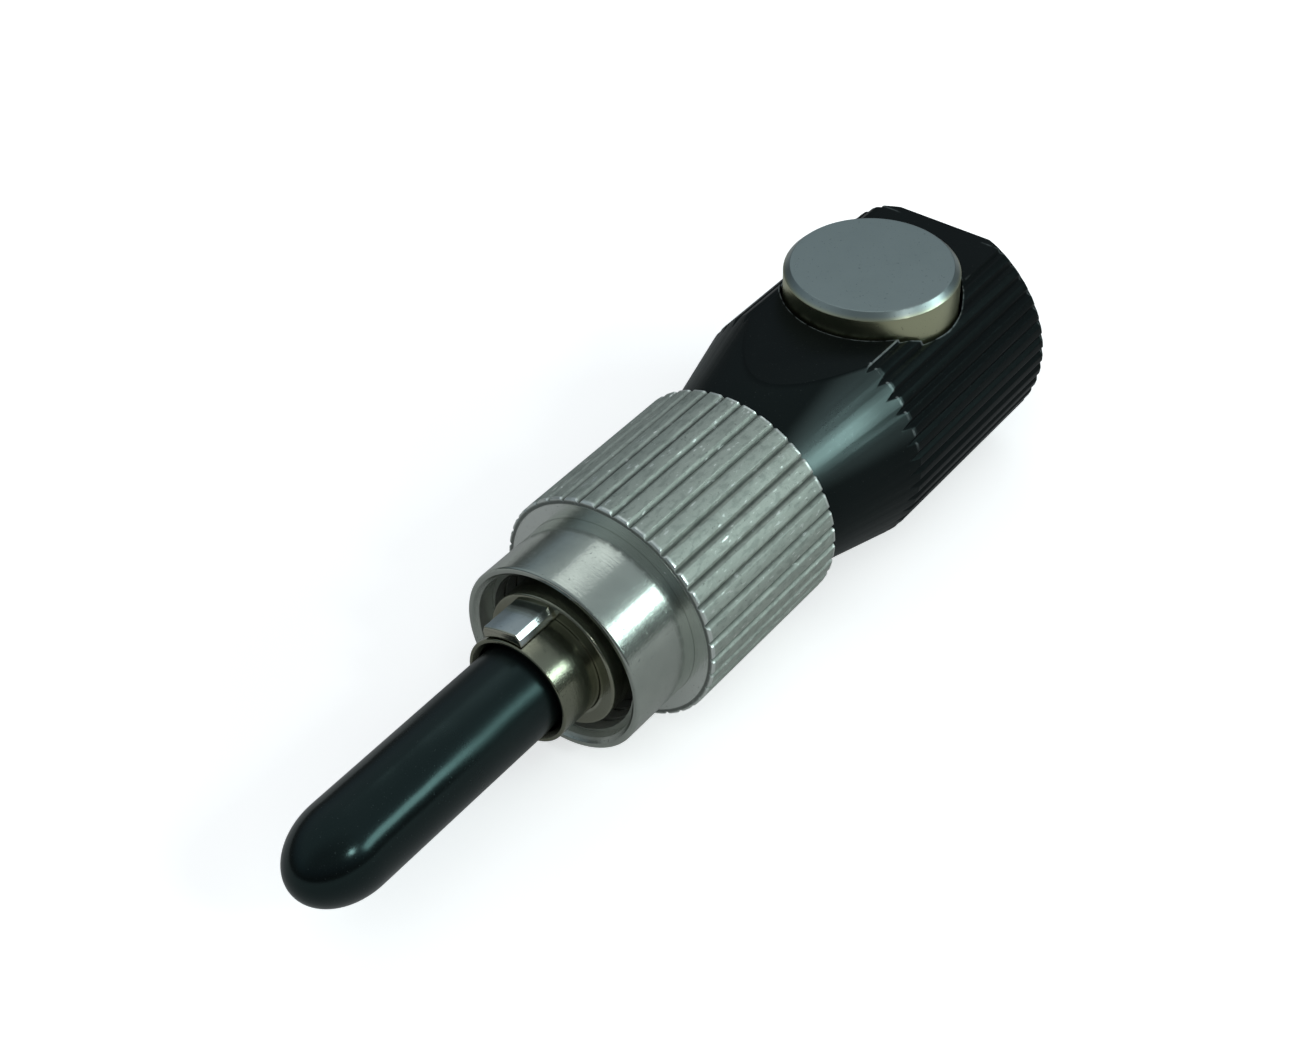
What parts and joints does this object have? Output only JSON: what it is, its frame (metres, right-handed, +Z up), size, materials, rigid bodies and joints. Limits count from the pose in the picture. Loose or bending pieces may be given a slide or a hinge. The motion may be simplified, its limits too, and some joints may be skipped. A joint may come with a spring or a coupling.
{
  "type": "push-button bare fibre adapter",
  "caption": "Bare-fibre adapter with a round keyed FC plug, a knurled coupling nut, a dust cap and a black clamp body whose push button grips the fibre.",
  "frame": {"origin": "on the plug's axis at the front face of the key ring, level with the coupling nut's rim", "axes": "+X along the plug's axis towards the fibre entry, +Z up through the push button"},
  "size_m": [0.0446, 0.012, 0.0118],
  "materials": {
    "cap_vinyl": "glossy soft vinyl",
    "zirconia": "polished",
    "nickel_frame": "nickel plated, polished",
    "nickel_nut": "nickel plated, polished",
    "black_body": "black anodised, satin",
    "button_metal": "nickel plated, satin top",
    "steel": "bright drawn"
  },
  "bodies": {
    "adapter": {"clamp_body": "black_body", "plug_frame": "nickel_frame", "key_ring": "nickel_frame", "spring_seat": "nickel_frame", "ferrule_spring": "steel", "button_spring": "steel"},
    "nut": {"coupling_nut": "nickel_nut"},
    "button": {"push_button": "button_metal", "button_screw": "steel"},
    "ferrule_group": {"ferrule": "zirconia", "ferrule_flange": "nickel_frame", "guide_tube": "steel"},
    "cap": {"dust_cap": "cap_vinyl"}
  },
  "joints": [
    {"name": "nut_spin", "type": "hinge", "parent": "adapter", "child": "nut", "pos_m": [0, 0, 0], "axis": [1, 0, 0], "continuous": true},
    {"name": "button_press", "type": "slide", "parent": "adapter", "child": "button", "axis": [0, 0, -1], "range_m": [0, 0.001], "stiffness_N_per_m": 1500, "springref_m": -0.002, "deforming": ["button_spring"]},
    {"name": "ferrule_float", "type": "slide", "parent": "adapter", "child": "ferrule_group", "axis": [1, 0, 0], "range_m": [0, 0.001], "stiffness_N_per_m": 1500, "springref_m": -0.004, "deforming": ["ferrule_spring"]},
    {"name": "cap_pull", "type": "slide", "parent": "adapter", "child": "cap", "axis": [-1, 0, 0], "range_m": [0, 0.009]}
  ]
}
